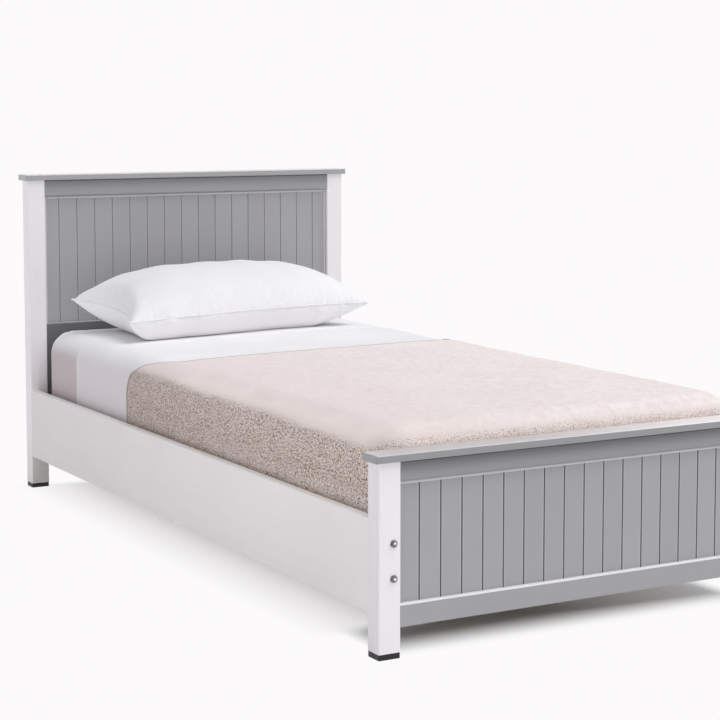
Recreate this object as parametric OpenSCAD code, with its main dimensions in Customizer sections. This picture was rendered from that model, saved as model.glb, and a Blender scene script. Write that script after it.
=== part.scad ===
// Single bed with panelled head and foot ends, side rails, slats, mattress, bedding and pillow.
// Millimetres. The origin is on the floor under the middle of the bed, +Y points to the head end
// and +Z points up. Left and right are as seen by someone who stands at the foot end.

/* [Main sizes] */
// Width of the mattress
mattress_w = 920; // [860:5:1200]
// Length of the mattress
mattress_l = 1890; // [1800:5:2000]
// Height of the top of the head cap
head_h = 884; // [780:1:1000]
// Height of the top of the foot cap
foot_h = 409; // [380:1:480]
// Clearance between the blanket and a side rail
side_gap = 9.7; // [5:0.1:20]
// Clearance between the blanket and the back edge of the foot cap
end_gap = 2.7; // [1:0.1:10]
// Clearance between the sheet and the front of the head posts
head_gap = 1; // [0.5:0.5:10]

/* [Posts and floor pads] */
// Width of a post, across the bed
post_w = 50; // [46:1:60]
// Depth of a post, along the bed
post_d = 45; // [42:1:60]
// Radius of the long edges of a post
post_round = 3; // [1:0.5:5]
// Thickness of a floor pad
pad_t = 12; // [6:1:16]
// Distance from the sides of a post to the sides of its pad
pad_inset = 0.5; // [0:0.5:3]

/* [Caps] */
// Thickness of a cap board
cap_t = 16; // [12:1:22]
// Overhang of a cap past the front and back of the posts
cap_over = 8; // [4:1:14]
// Overhang of a cap past the outer faces of the posts
cap_end = 9; // [4:1:14]
// Radius of the rounded edges of a cap
cap_round = 3; // [1:0.5:5]

/* [Cross rails of the ends] */
// Depth of a cross rail, along the bed
rail_d = 40; // [34:1:41]
// Distance of a cross rail's face behind the face of the posts
rail_set = 1; // [0.5:0.5:2]
// Bevel along the edges of a cross rail
rail_bevel = 3; // [1:0.5:4]
// Height of the head top rail
head_top_rail_h = 45; // [36:1:70]
// Height of the head low rail
head_low_rail_h = 225; // [60:5:240]
// Height of the top edge of the head low rail above the floor
head_low_rail_top = 465; // [440:5:520]
// Height of the foot top rail
foot_top_rail_h = 40; // [34:1:60]
// Height of the foot low rail
foot_low_rail_h = 47; // [40:1:70]
// Height of the bottom edge of the foot low rail above the floor
foot_low_rail_z = 61; // [50:1:100]

/* [Tongue and groove boards] */
// Face width of a board in the head panel
head_board_w = 54; // [45:1:75]
// Face width of a board in the foot panel
foot_board_w = 50; // [45:1:75]
// Thickness of a board
board_t = 12; // [10:1:14]
// Distance of the boards' face behind the face of the cross rails
panel_recess = 12; // [8:1:14]
// Depth to which the boards enter the rails and posts
panel_in = 8; // [5:1:10]
// Bevel on the front edges of a board
board_bevel = 2; // [1:0.5:3]
// Thickness of a tongue
tongue_t = 4; // [3:0.5:5]
// Length of a tongue
tongue_l = 5; // [3:0.5:6]
// Radius of the half-round beads round a panel
bead_r = 4; // [3:0.5:6]

/* [Side rails, ledges and slats] */
// Thickness of a side rail
side_t = 22; // [18:1:25]
// Distance of a side rail's outer face inside the posts' outer face
side_set = 1.5; // [0.5:0.5:3]
// Height of the bottom edge of a side rail
side_z = 88; // [70:1:110]
// Height of a side rail from edge to edge
side_h = 190; // [180:1:220]
// Radius of the long edges of a side rail
side_round = 3; // [1:0.5:5]
// Thickness of a ledge, across the bed
ledge_w = 20; // [18:1:30]
// Height of a ledge
ledge_h = 30; // [26:1:40]
// Depth of the top of the slats below the side rails' top edge
slat_below = 48; // [30:1:60]
// Number of slats, one node each
slat_count = 14; // [10:1:16]
// Width of a slat, along the bed
slat_w = 70; // [50:5:90]
// Thickness of a slat
slat_t = 18; // [14:1:22]
// Clearance between the end of a slat and the side rail
slat_gap = 2; // [1:0.5:5]
// Distance from a corner block to the first slat
slat_start = 15; // [5:5:40]

/* [Corner blocks and bed bolts] */
// Thickness of a corner block, across the bed
block_w = 20; // [18:1:24]
// Length of a corner block, along the bed
block_l = 45; // [42:1:50]
// Length of a corner block beyond the centres of its two bolts, up and down
block_past = 22; // [16:1:24]
// Height of the lower bed bolt's centre above the bottom edge of the side rails
bolt_up = 73; // [60:1:78]
// Distance between the centres of the two bed bolts of a post
bolt_step = 70; // [60:1:74]
// Diameter of a bed bolt's shank
bolt_d = 8; // [6:1:8]
// Diameter of a bed bolt's head
bolt_head_d = 13; // [12:0.5:15]
// Height of a bed bolt's head
bolt_head_t = 4; // [3:0.5:6]
// Width of the socket in a bed bolt's head
bolt_key_d = 5; // [4:1:6]
// Diameter of a bolt washer
washer_d = 16; // [15.5:0.5:18]
// Thickness of a bolt washer
washer_t = 1.5; // [1:0.5:2]
// Diameter of a barrel nut
nut_d = 12; // [11:1:14]
// Length of a barrel nut
nut_l = 14; // [12:1:15]
// Distance from the post to the centre of a barrel nut
nut_in = 28; // [24:1:32]

/* [Dowels and screws] */
// Diameter of a dowel
dowel_d = 8; // [6:1:10]
// Length of a dowel
dowel_l = 50; // [30:5:60]
// Diameter of a wood screw's shank
screw_d = 4; // [3:0.5:4.5]
// Diameter of a wood screw's head
screw_head_d = 8; // [7:0.5:9]
// Length of a screw that fixes a ledge or a corner block
side_screw_l = 34; // [30:1:36]
// Length of a screw that fixes a slat
slat_screw_l = 35; // [26:1:40]
// Length of a screw that fixes a floor pad
pad_screw_l = 30; // [20:1:40]
// Radial clearance of dowels, bolts and screws in their holes
hole_gap = 0.1; // [0.05:0.05:0.3]
// Clearance at the ends and faces of a joint in wood
wood_gap = 0.2; // [0.1:0.1:0.5]

/* [Mattress and bedding] */
// Thickness of the mattress
mattress_t = 216; // [170:1:230]
// Radius of the mattress's upright corners
mattress_corner = 72; // [72:1:140]
// Radius of the mattress's top edge
mattress_top_round = 60; // [20:1:64]
// Radius of the mattress's bottom edge
mattress_low_round = 16; // [8:1:24]
// Height of the crown of the mattress
mattress_crown = 3; // [1:0.5:6]
// Thickness of the fitted sheet
sheet_t = 1.2; // [0.8:0.1:2]
// Width of the sheet's hem under the mattress
sheet_hem = 60; // [40:5:90]
// Thickness of the blanket
blanket_t = 5; // [3:0.5:6]
// Distance from the middle of the bed to the middle of the blanket's head edge
blanket_edge = 163; // [100:1:400]
// Angle of the blanket's head edge to the width of the bed
blanket_turn = 3.2; // [0:0.1:5]
// How far the blanket's hanging sides reach past its head edge
blanket_flare = 205; // [0:5:300]
// Height over which the hanging sides' edge curves away from the head edge
blanket_flare_h = 100; // [40:5:120]
// Distance from the slats up to the blanket's hanging edge
blanket_up = 12; // [4:1:30]
// Distance between soft pieces, and between them and the slats
soft_gap = 0.3; // [0.3:0.1:1]

/* [Pillow] */
// Length of the pillow between its corners, across the bed
pillow_w = 790; // [600:1:860]
// Depth of the pillow between its corners, along the bed
pillow_l = 341; // [260:1:380]
// Height of the pillow's top above its seam
pillow_up = 103; // [60:1:115]
// Angle by which the pillow lies turned on the bed
pillow_turn = 6; // [0:0.5:7]
// Distance of the pillow's middle to the right of the bed's middle
pillow_x = -8; // [-20:1:20]
// Distance from the pillow's back corners to the front of the head posts, before it is turned
pillow_back = 51; // [45:1:80]
// Height of the seam above the sheet at the front left corner
pillow_front_left = 56; // [40:1:90]
// Height of the seam above the sheet at the front right corner
pillow_front_right = 63; // [40:1:90]
// Height of the seam above the sheet at the back left corner
pillow_back_left = 92; // [60:1:120]
// Height of the seam above the sheet at the back right corner
pillow_back_right = 91; // [60:1:120]
// How far the front and back seams are drawn in between the corners
pillow_pull_l = 6; // [0:1:20]
// How far the left seam is drawn in between the corners
pillow_pull_left = 39; // [0:1:50]
// How far the right seam is drawn in between the corners
pillow_pull_right = 28; // [0:1:50]
// How far the front left corner is pushed in
pillow_blunt = 4; // [0:1:60]

/* [Hidden] */

$fn = 48;
eps = 0.01;
white_paint = [0.93, 0.93, 0.94];
grey_paint = [0.62, 0.62, 0.63];
bare_pine = [0.86, 0.74, 0.56];
zinc = [0.72, 0.72, 0.74];
black_plastic = [0.08, 0.08, 0.09];

// Overall size over the outer faces of the posts, and the inner faces of the frame
blanket_off = 2 * soft_gap + sheet_t;
bed_w = mattress_w + 2 * (blanket_off + blanket_t + side_gap + side_t + side_set);
mattress_y0 = post_d + cap_over + end_gap + blanket_t + blanket_off;
mattress_y1 = post_d + head_gap + soft_gap + sheet_t;
bed_l = mattress_l + mattress_y0 + mattress_y1;
mattress_y = (mattress_y0 - mattress_y1) / 2;
inner_w = bed_w - 2 * post_w;
inner_l = bed_l - 2 * post_d;
side_inner_x = bed_w / 2 - side_set - side_t;
rail_y = rail_set + rail_d / 2;
panel_y = rail_set + panel_recess;
side_boards = 2;

// Corner blocks, bolts and nuts, on the line that runs through the middle of a block
bolt_x = side_inner_x - block_w / 2;
bolt_zs = [side_z + bolt_up, side_z + bolt_up + bolt_step];
bolt_l = post_d + nut_in + nut_d;
block_z0 = bolt_zs[0] - block_past;
block_z1 = bolt_zs[1] + block_past;
block_screw_at = [0.25, 0.75];
head_sink = (screw_head_d - screw_d) / 2;
head_clear = 1;

// Dowels, as shares of the height of a rail, and the dowels that hold a cap
rail_dowel_at = [0.25, 0.6];
cap_dowel_l = 3 * dowel_d;
cap_dowel_up = cap_t / 2;
cap_dowel_at = 1 / 6;

// Ledges and slats
ledge_l = inner_l - 2 * block_l - 2 * wood_gap;
slat_top = side_z + side_h - slat_below;
ledge_top = slat_top - slat_t;
slat_l = 2 * (side_inner_x - slat_gap);
slat_first_y = inner_l / 2 - block_l - slat_start - slat_w / 2;
slat_step = 2 * slat_first_y / (slat_count - 1);
ledge_screw_every = 2;

// Soft pieces
crown_at = [0.15, 0.35, 0.65];
least_corner = 10;
corner_steps = 6;
round_steps = 5;
flare_steps = 6;
mattress_z0 = slat_top + sheet_t + 2 * soft_gap;
mattress_z1 = mattress_z0 + mattress_t;
sheet_top_z = mattress_z1 + soft_gap + sheet_t;
pillow_z0 = sheet_top_z + soft_gap;
pillow_y = inner_l / 2 - pillow_back - pillow_l / 2;
pillow_steps_w = 20;
pillow_steps_l = 12;
pillow_swell_x = 3.4;
pillow_swell_y = 2.8;
pillow_ease = 0.56;
pillow_crown_x = -0.02;
pillow_crown_y = 0.2;
pillow_lie = 0.75;
pillow_lie_l = 0.89;
pillow_lie_front = 0.9;
pillow_lie_back = 0.68;
pillow_lie_right = 0.56;

function slat_name(i) = str("slat_", i < 10 ? "0" : "", i);
function top_z(head) = (head ? head_h : foot_h) - cap_t;
function top_rail_h(head) = head ? head_top_rail_h : foot_top_rail_h;
function low_rail_h(head) = head ? head_low_rail_h : foot_low_rail_h;
function low_rail_z(head) = head ? head_low_rail_top - head_low_rail_h : foot_low_rail_z;
function panel_z0(head) = low_rail_z(head) + low_rail_h(head);
function panel_z1(head) = top_z(head) - top_rail_h(head);
function board_w(head) = head ? head_board_w : foot_board_w;
function slat_y(i) = slat_first_y - slat_step * (i - 1);

// Heights of the dowels that join a rail to the posts, clear of the panel's groove
function rail_dowel_zs(head) = [
    for (f = rail_dowel_at) top_z(head) - top_rail_h(head) * f,
    for (f = rail_dowel_at) low_rail_z(head) + low_rail_h(head) * f
];

// Places an end of the bed: y = 0 is the face towards the foot, in the children's own frame
module at_end(head) {
    translate([0, head ? bed_l / 2 - post_d : -bed_l / 2, 0]) children();
}

// Repeats the children at the left and right, mirrored
module both_sides() {
    children();
    mirror([1, 0, 0]) children();
}

// Repeats the children at the foot and head ends, mirrored
module both_ends() {
    children();
    mirror([0, 1, 0]) children();
}

// Draws the children on the left side or the right side
module on_side(right) {
    mirror([right ? 1 : 0, 0, 0]) children();
}

// Draws the children at the foot end or the head end
module on_end(head) {
    mirror([0, head ? 1 : 0, 0]) children();
}

// Extrudes a (y, z) outline along X, centred
module along_x(len) {
    translate([-len / 2, 0, 0]) rotate([90, 0, 90]) linear_extrude(len) children();
}

// Extrudes an (x, z) outline along Y, centred
module along_y(len) {
    translate([0, len / 2, 0]) rotate([90, 0, 0]) linear_extrude(len) children();
}

// A rectangle from the origin with rounded corners
module round_rect(w, d, r) {
    translate([r, 0]) square([w - 2 * r, d]);
    translate([0, r]) square([w, d - 2 * r]);
    for (x = [r, w - r]) for (y = [r, d - r]) translate([x, y]) circle(r);
}

// A cylinder along X, from the origin towards +X
module rod_x(d, len) {
    rotate([0, 90, 0]) cylinder(d = d, h = len);
}

// A cylinder along Y, from the origin towards +Y
module rod_y(d, len) {
    rotate([-90, 0, 0]) cylinder(d = d, h = len);
}

// A countersunk wood screw that points down, with its head's face at the origin
module wood_screw(len, grow = 0) {
    r = screw_d / 2 + grow;
    head_r = screw_head_d / 2 + grow;
    shank = [[0, -len - grow], [r, -len - grow], [r, -head_sink - grow], [head_r, 0]];
    above = grow > 0 ? [[head_r, head_clear], [0, head_clear]] : [[0, 0]];
    rotate_extrude() polygon(concat(shank, above));
}

// The places of the ledge's and corner block's screws, on the left side, each pointing outwards
module ledge_screw_places() {
    for (i = [1:ledge_screw_every:slat_count - 1]) {
        translate([-side_inner_x + ledge_w, slat_y(i) - slat_step / 2, ledge_top - ledge_h / 2]) {
            rotate([0, 90, 0]) children();
        }
    }
}

module block_screw_places() {
    for (f = block_screw_at) {
        translate([-side_inner_x + block_w, -inner_l / 2 + block_l * f, (block_z0 + block_z1) / 2]) {
            rotate([0, 90, 0]) children();
        }
    }
}

module slat_screw_places(i) {
    both_sides() translate([-side_inner_x + ledge_w / 2, slat_y(i), slat_top]) children();
}

// Cross dowels of one end, at the left, in the end's own frame
module rail_dowel_places(head) {
    for (z = rail_dowel_zs(head)) translate([-inner_w / 2, rail_y, z]) children();
}

// Upright dowels that hold a cap, at the left, in the end's own frame
module cap_dowel_places(head) {
    for (x = [-inner_w / 2 - dowel_l / 2 - dowel_d, -inner_w * cap_dowel_at]) {
        translate([x, rail_y, top_z(head)]) children();
    }
}

module dowels(head) {
    color(bare_pine) at_end(head) both_sides() {
        rail_dowel_places(head) translate([-dowel_l / 2, 0, 0]) rod_x(dowel_d, dowel_l);
        cap_dowel_places(head) translate([0, 0, cap_dowel_up - cap_dowel_l]) {
            cylinder(d = dowel_d, h = cap_dowel_l);
        }
    }
}

module dowel_holes(head) {
    both_sides() {
        rail_dowel_places(head) {
            translate([-dowel_l / 2 - wood_gap, 0, 0]) rod_x(dowel_d + 2 * hole_gap, dowel_l + 2 * wood_gap);
        }
        cap_dowel_places(head) {
            translate([0, 0, cap_dowel_up - cap_dowel_l - wood_gap]) {
                cylinder(d = dowel_d + 2 * hole_gap, h = cap_dowel_l + 2 * wood_gap);
            }
        }
    }
}

// The slot that the boards of one end fill, in the end's own frame
module panel_slot(head) {
    h = panel_z1(head) - panel_z0(head) + 2 * panel_in + 2 * wood_gap;
    w = inner_w + 2 * panel_in + 2 * wood_gap;
    translate([-w / 2, panel_y - wood_gap / 2, panel_z0(head) - panel_in - wood_gap]) {
        cube([w, board_t + wood_gap, h]);
    }
}

module bolt_hole() {
    translate([-bolt_x, -bed_l / 2 - eps, 0]) rod_y(bolt_d + 2 * hole_gap, bolt_l + wood_gap);
}

module post(head, right) {
    color(white_paint) on_side(right) difference() {
        at_end(head) translate([-bed_w / 2, 0, pad_t]) {
            linear_extrude(top_z(head) - pad_t) round_rect(post_w, post_d, post_round);
        }
        at_end(head) panel_slot(head);
        at_end(head) dowel_holes(head);
        on_end(head) for (z = bolt_zs) translate([0, 0, z]) bolt_hole();
        on_end(head) pad_screw_place() mirror([0, 0, 1]) wood_screw(pad_screw_l, hole_gap);
    }
}

// The outline of a cross rail in the end's own frame, from z = 0, with bevelled edges
module rail_outline(h) {
    b = rail_bevel;
    translate([rail_set, 0]) polygon([
        [b, 0], [rail_d - b, 0], [rail_d, b], [rail_d, h - b], [rail_d - b, h], [b, h], [0, h - b], [0, b]
    ]);
}

module cross_rail(head, z, h) {
    color(grey_paint) at_end(head) difference() {
        translate([0, 0, z]) along_x(inner_w) rail_outline(h);
        panel_slot(head);
        dowel_holes(head);
    }
}

module top_rail(head) {
    cross_rail(head, panel_z1(head), top_rail_h(head));
}

module low_rail(head) {
    cross_rail(head, low_rail_z(head), low_rail_h(head));
}

// A cap board, rounded along its long edges and at its corners
module cap(head) {
    d = post_d + 2 * cap_over;
    w = bed_w + 2 * cap_end;
    color(grey_paint) at_end(head) difference() {
        translate([0, -cap_over, top_z(head)]) intersection() {
            along_x(w) round_rect(d, cap_t, cap_round);
            translate([-w / 2, 0, 0]) linear_extrude(cap_t) round_rect(w, d, cap_round);
        }
        dowel_holes(head);
    }
}

// One board from x0 to x1, with a groove at its left edge and a tongue at its right edge where asked
module board(x0, x1, groove, tongue, len) {
    b = board_bevel;
    t0 = (board_t - tongue_t) / 2;
    t1 = t0 + tongue_t;
    g = wood_gap / 2;
    gx = x0 + tongue_l + g;
    left = groove ? [
        [x0, board_t], [x0, t1 + g], [gx, t1 + g], [gx, t0 - g], [x0, t0 - g], [x0, b]
    ] : [[x0, board_t], [x0, b]];
    right = tongue ? [
        [x1, b], [x1, t0], [x1 + tongue_l, t0], [x1 + tongue_l, t1], [x1, t1], [x1, board_t]
    ] : [[x1, b], [x1, board_t]];
    linear_extrude(len) polygon(concat(left, [[x0 + b, 0], [x1 - b, 0]], right));
}

// The boards of one panel: full boards in the middle, and one cut to width at each side
module boards(head) {
    w = board_w(head);
    full = ceil(inner_w / w) - side_boards;
    span = full * w;
    len = panel_z1(head) - panel_z0(head) + 2 * panel_in;
    edge_x = inner_w / 2 + panel_in;
    color(grey_paint) at_end(head) translate([0, panel_y, panel_z0(head) - panel_in]) {
        board(-edge_x, -span / 2 - wood_gap, false, true, len);
        for (i = [0:full - 1]) let (x = i * w - span / 2) board(x, x + w - wood_gap, true, true, len);
        board(span / 2, edge_x, true, false, len);
    }
}

// A half-round strip along X or Z that lies on the boards
module half_round(len) {
    intersection() {
        rod_x(2 * bead_r, len);
        translate([0, -bead_r, -bead_r]) cube([len, bead_r, 2 * bead_r]);
    }
}

module bead_top(head) {
    color(grey_paint) at_end(head) translate([-inner_w / 2, panel_y, panel_z1(head) - bead_r]) {
        half_round(inner_w);
    }
}

module bead_side(head, right) {
    h = panel_z1(head) - panel_z0(head) - 2 * bead_r;
    color(grey_paint) on_side(right) at_end(head) {
        translate([-inner_w / 2 + bead_r, panel_y, panel_z0(head) + h]) rotate([0, 90, 0]) half_round(h);
    }
}

// The centre of the left pad's underside at the foot end, screw pointing up into the post
module pad_screw_place() {
    translate([-bed_w / 2 + post_w / 2, -bed_l / 2 + post_d / 2, pad_t / 2]) children();
}

module pad(head, right) {
    w = post_w - 2 * pad_inset;
    d = post_d - 2 * pad_inset;
    color(black_plastic) on_side(right) on_end(head) difference() {
        translate([-bed_w / 2 + pad_inset, -bed_l / 2 + pad_inset, 0]) {
            linear_extrude(pad_t) round_rect(w, d, post_round);
        }
        pad_screw_place() mirror([0, 0, 1]) wood_screw(pad_screw_l, hole_gap);
        pad_screw_place() mirror([0, 0, 1]) cylinder(d = screw_head_d + 2 * hole_gap, h = pad_t);
    }
}

module pad_screws() {
    color(zinc) both_ends() both_sides() pad_screw_place() mirror([0, 0, 1]) wood_screw(pad_screw_l);
}

module side_rail(right) {
    color(white_paint) on_side(right) difference() {
        translate([-side_inner_x - side_t, 0, side_z]) along_y(inner_l) {
            round_rect(side_t, side_h, side_round);
        }
        ledge_screw_places() wood_screw(side_screw_l, hole_gap);
        both_ends() block_screw_places() wood_screw(side_screw_l, hole_gap);
    }
}

module ledge(right) {
    color(bare_pine) on_side(right) difference() {
        translate([-side_inner_x, -ledge_l / 2, ledge_top - ledge_h]) cube([ledge_w, ledge_l, ledge_h]);
        ledge_screw_places() wood_screw(side_screw_l, hole_gap);
        for (i = [1:slat_count]) slat_screw_places(i) wood_screw(slat_screw_l, hole_gap);
    }
}

module slat(i) {
    color(bare_pine) difference() {
        translate([-slat_l / 2, slat_y(i) - slat_w / 2, ledge_top]) cube([slat_l, slat_w, slat_t]);
        slat_screw_places(i) wood_screw(slat_screw_l, hole_gap);
    }
}

module corner_block(head, right) {
    color(bare_pine) on_side(right) on_end(head) difference() {
        translate([-side_inner_x, -inner_l / 2, block_z0]) cube([block_w, block_l, block_z1 - block_z0]);
        for (z = bolt_zs) translate([0, 0, z]) {
            bolt_hole();
            translate([-bolt_x - nut_l / 2 - wood_gap, -inner_l / 2 + nut_in, 0]) {
                rod_x(nut_d + 2 * hole_gap, nut_l + block_w);
            }
        }
        block_screw_places() wood_screw(side_screw_l, hole_gap);
    }
}

module bed_bolts() {
    color(zinc) both_ends() both_sides() for (z = bolt_zs) translate([-bolt_x, -bed_l / 2 - washer_t, z]) {
        rod_y(bolt_d, bolt_l + washer_t - wood_gap);
        rotate([90, 0, 0]) difference() {
            intersection() {
                cylinder(d = bolt_head_d, h = bolt_head_t);
                translate([0, 0, bolt_head_t - bolt_head_d]) sphere(r = bolt_head_d);
            }
            translate([0, 0, bolt_head_t / 2]) cylinder(d = bolt_key_d, h = bolt_head_t, $fn = 6);
        }
    }
}

module bolt_washers() {
    color(zinc) both_ends() both_sides() for (z = bolt_zs) translate([-bolt_x, -bed_l / 2, z]) {
        rotate([90, 0, 0]) difference() {
            cylinder(d = washer_d, h = washer_t);
            translate([0, 0, -eps]) cylinder(d = bolt_d + 2 * hole_gap, h = washer_t + 2 * eps);
        }
    }
}

module barrel_nuts() {
    color(zinc) both_ends() both_sides() for (z = bolt_zs) difference() {
        translate([-bolt_x - nut_l / 2, -inner_l / 2 + nut_in, z]) rod_x(nut_d, nut_l);
        translate([0, 0, z]) bolt_hole();
    }
}

module block_screws() {
    color(zinc) both_ends() both_sides() block_screw_places() wood_screw(side_screw_l);
}

module ledge_screws() {
    color(zinc) both_sides() ledge_screw_places() wood_screw(side_screw_l);
}

module slat_screws() {
    color(zinc) for (i = [1:slat_count]) slat_screw_places(i) wood_screw(slat_screw_l);
}

// A ring of points round a rounded rectangle, anticlockwise as seen from above
function ring(hw, hl, r, z) = [
    for (q = [0:3])
        for (i = [0:corner_steps])
            let (a = 90 * (q + i / corner_steps), sx = (q == 0 || q == 3) ? 1 : -1, sy = q < 2 ? 1 : -1)
                [sx * (hw - r) + r * cos(a), sy * (hl - r) + r * sin(a), z]
];

// The mattress's ring at a distance inside its widest outline
function mattress_ring(inset, z) = ring(
    mattress_w / 2 - inset, mattress_l / 2 - inset, max(mattress_corner - inset, least_corner), z
);

// The mattress's outline moved out by e, as insets and heights: its side from z0 up, its edge and its crown
function upper_profile(e, z0) = let (r = mattress_top_round, z1 = mattress_z1 - mattress_crown) concat(
    [[-e, z0]],
    [for (i = [0:round_steps]) let (b = 90 * i / round_steps)
        [r - (r + e) * cos(b), z1 - r + (r + e) * sin(b)]],
    [for (s = crown_at) [r + (mattress_w / 2 - r) * s, z1 + e + mattress_crown * sin(90 * min(1, s * 2))]]
);

// The same for its bottom edge, from an inset under the mattress out to the side
function lower_profile(e, inset) = let (r = mattress_low_round) concat(
    [[inset, mattress_z0 - e]],
    [for (i = [0:round_steps]) let (b = 90 * (1 - i / round_steps))
        [r - (r + e) * cos(b), mattress_z0 + r - (r + e) * sin(b)]]
);

function to_rings(profile) = [for (p = profile) mattress_ring(p[0], p[1])];
function reversed(list) = [for (i = [len(list) - 1:-1:0]) list[i]];
function mean_z(ring_points) = ring_points[0][2];

// A closed skin over rings of equal length, closed at both ends by a fan round a centre point
module skin(rings, centre) {
    n = len(rings[0]);
    m = len(rings);
    points = concat(
        [for (r = rings) each r],
        [[centre[0], centre[1], mean_z(rings[0])], [centre[0], centre[1], mean_z(rings[m - 1])]]
    );
    sides = [
        for (k = [0:m - 2])
            for (i = [0:n - 1])
                let (j = (i + 1) % n, a = k * n, b = a + n)
                    each [[a + i, b + i, b + j], [a + i, b + j, a + j]]
    ];
    first = [for (i = [0:n - 1]) [n * m, i, (i + 1) % n]];
    last = [for (i = [0:n - 1]) let (a = (m - 1) * n) [n * m + 1, a + (i + 1) % n, a + i]];
    polyhedron(points = points, faces = concat(sides, first, last));
}

module mattress() {
    color("white") translate([0, mattress_y, 0]) skin(to_rings(concat(
        lower_profile(0, sheet_hem), upper_profile(0, mattress_z0 + mattress_t / 2)
    )), [0, 0]);
}

module fitted_sheet() {
    inner = concat(lower_profile(soft_gap, sheet_hem), upper_profile(soft_gap, mattress_z0 + mattress_t / 2));
    out = soft_gap + sheet_t;
    outer = concat(lower_profile(out, sheet_hem), upper_profile(out, mattress_z0 + mattress_t / 2));
    color("white") translate([0, mattress_y, 0]) skin(to_rings(concat(reversed(inner), outer)), [0, 0]);
}

// The outline of a hanging side of the blanket as (y, z), from its head edge's place on top
function flare_outline(z0, z1) = [
    [-bed_l, z0], [blanket_flare, z0],
    for (i = [0:flare_steps]) let (b = 90 * i / flare_steps)
        [blanket_flare * cos(b), z1 - blanket_flare_h * (1 - sin(b))],
    [0, z1 + blanket_t], [-bed_l, z1 + blanket_t]
];

module blanket() {
    low_z = slat_top + blanket_up;
    inner = upper_profile(blanket_off, low_z);
    outer = upper_profile(blanket_off + blanket_t, low_z);
    side_z1 = mattress_z1 - mattress_crown + blanket_off + blanket_t;
    side_x = mattress_w / 2 - mattress_top_round;
    color([0.88, 0.82, 0.79]) intersection() {
        translate([0, mattress_y, 0]) skin(to_rings(concat(reversed(inner), outer)), [0, 0]);
        union() {
            translate([0, blanket_edge, 0]) rotate([0, 0, blanket_turn]) translate([-bed_w, -2 * bed_l, 0]) {
                cube([2 * bed_w, 2 * bed_l, mattress_z1 + mattress_t]);
            }
            for (x = [-side_x - bed_w / 4, side_x + bed_w / 4]) {
                translate([x, blanket_edge + sign(x) * side_x * tan(blanket_turn), 0]) along_x(bed_w / 2) {
                    polygon(flare_outline(0, side_z1));
                }
            }
        }
    }
}

// The value at shares a across and b along the bed, from the four corners' values
function corners(a, b, front_left, front_right, back_left, back_right) =
    (1 - b) * ((1 - a) * front_left + a * front_right) + b * ((1 - a) * back_left + a * back_right);

// The surface between the pillow's seams, with s and t from -1 to 1 across and along the bed
function pillow_seam(s, t) = let (a = (1 + s) / 2, b = (1 + t) / 2) [
    s * pillow_w / 2 + pillow_blunt * (1 - a) * (1 - b)
        + (1 - t * t) * (pillow_pull_left * (1 - a) - pillow_pull_right * a),
    t * (pillow_l / 2 - pillow_pull_l * (1 - s * s)),
    corners(a, b, pillow_front_left, pillow_front_right, pillow_back_left, pillow_back_right)
];

// Share of the full height of the pillow's top
function pillow_dome(s, t) = let (
    x = s - pillow_crown_x * (1 - s * s),
    y = t - pillow_crown_y * (1 - t * t)
) pow(max(0, (1 - pow(abs(x), pillow_swell_x)) * (1 - pow(abs(y), pillow_swell_y))), pillow_ease);

// Share of the seam's height by which the pillow's underside hangs, 1 where it lies on the sheet
function pillow_hang(s, t) = let (
    to_x = s > 0 ? pillow_lie_right : corners(0, (1 + t) / 2, pillow_lie_front, 0, pillow_lie_back, 0)
) pow(min(1, (1 - abs(s)) / (1 - to_x), (1 - abs(t)) / (1 - pillow_lie_l)), pillow_lie);

function pillow_top(s, t) = pillow_seam(s, t) + [0, 0, pillow_up * pillow_dome(s, t)];
function pillow_low(s, t) = let (p = pillow_seam(s, t)) [p[0], p[1], p[2] * (1 - pillow_hang(s, t))];

module pillow() {
    n = pillow_steps_w;
    m = pillow_steps_l;
    ss = [for (i = [0:n]) sin(180 * i / n - 90)];
    ts = [for (j = [0:m]) sin(180 * j / m - 90)];
    tops = [for (i = [0:n]) for (j = [0:m]) pillow_top(ss[i], ts[j])];
    lows = [for (i = [1:n - 1]) for (j = [1:m - 1]) pillow_low(ss[i], ts[j])];
    at_top = [for (i = [0:n]) [for (j = [0:m]) i * (m + 1) + j]];
    at_low = [for (i = [0:n]) [
        for (j = [0:m]) i % n == 0 || j % m == 0 ? at_top[i][j] : len(tops) + (i - 1) * (m - 1) + j - 1
    ]];
    faces = [
        for (i = [0:n - 1])
            for (j = [0:m - 1])
                let (even = (2 * i < n) == (2 * j < m))
                    for (up = [true, false])
                        let (
                            g = up ? at_top : at_low,
                            q = [g[i][j], g[i + 1][j], g[i + 1][j + 1], g[i][j + 1]],
                            two = even ? [[q[0], q[1], q[2]], [q[0], q[2], q[3]]]
                                : [[q[0], q[1], q[3]], [q[1], q[2], q[3]]]
                        )
                            for (f = two) up ? [f[0], f[2], f[1]] : f
    ];
    color("white") translate([pillow_x, pillow_y, pillow_z0]) rotate([0, 0, pillow_turn]) {
        polyhedron(points = concat(tops, lows), faces = faces);
    }
}

for (head = [true, false]) {
    end = head ? "head" : "foot";
    for (right = [false, true]) {
        side = right ? "right" : "left";
        post(head, right);
        bead_side(head, right);
        pad(head, right);
        corner_block(head, right);
    }
    cap(head);
    top_rail(head);
    low_rail(head);
    boards(head);
    dowels(head);
    bead_top(head);
}
for (i = [1:slat_count]) slat(i);
side_rail(false);  // side_rail_left
side_rail(true);  // side_rail_right
ledge(false);  // ledge_left
ledge(true);  // ledge_right
bed_bolts();
bolt_washers();
barrel_nuts();
pad_screws();
block_screws();
ledge_screws();
slat_screws();
mattress();
fitted_sheet();
blanket();
pillow();
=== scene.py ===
import math

import bmesh
import bpy
import numpy as np
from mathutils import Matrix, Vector
from mathutils.kdtree import KDTree


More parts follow.
